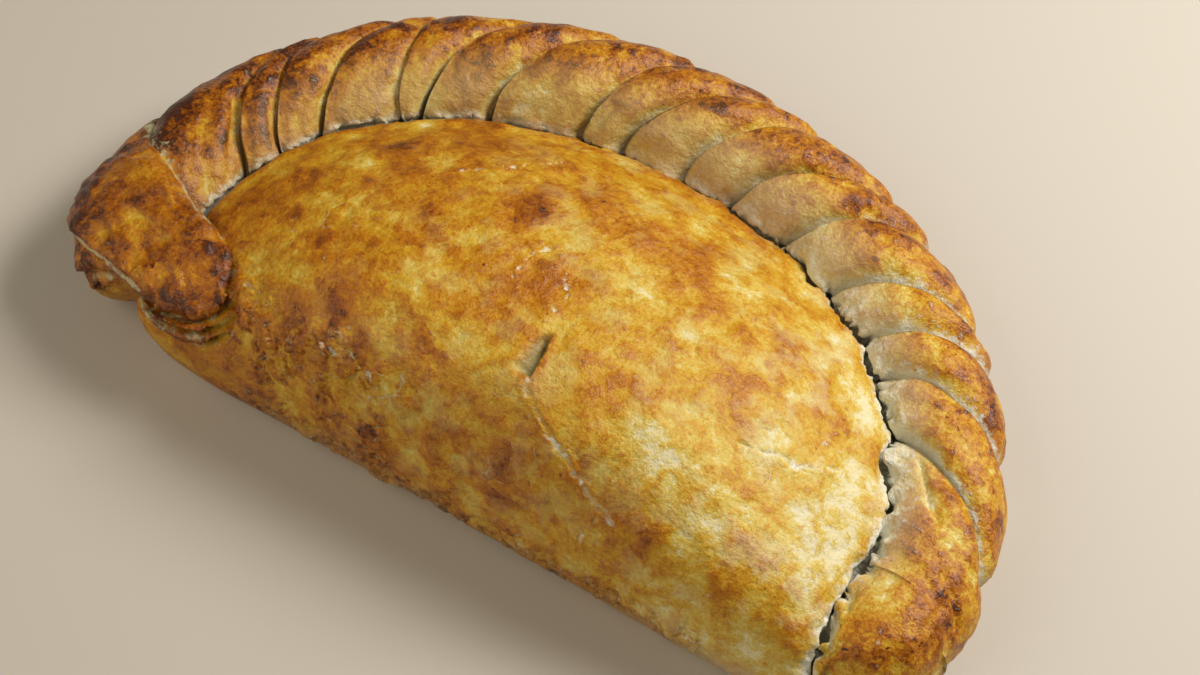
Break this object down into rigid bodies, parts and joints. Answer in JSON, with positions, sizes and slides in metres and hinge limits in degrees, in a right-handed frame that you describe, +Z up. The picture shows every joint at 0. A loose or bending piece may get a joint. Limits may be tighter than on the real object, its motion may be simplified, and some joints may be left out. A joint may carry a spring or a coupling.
{
  "type": "cornish pasty",
  "caption": "Baked half-moon meat pie with a domed shortcrust body, a thick rope crimp round its curved edge, one end of it folded over as a tongue, and a small steam vent.",
  "frame": {"origin": "middle of the base, on the surface the pasty lies on", "axes": "+X along the folded straight edge, towards the plain end of the crimp; +Y from the folded edge to the crimp; +Z up"},
  "size_m": [0.2046, 0.1154, 0.0433],
  "materials": {
    "crust": "egg-glazed baked shortcrust, softly glossy where brown and floury in the creases"
  },
  "bodies": {
    "root": {"pasty": "crust"}
  },
  "joints": []
}
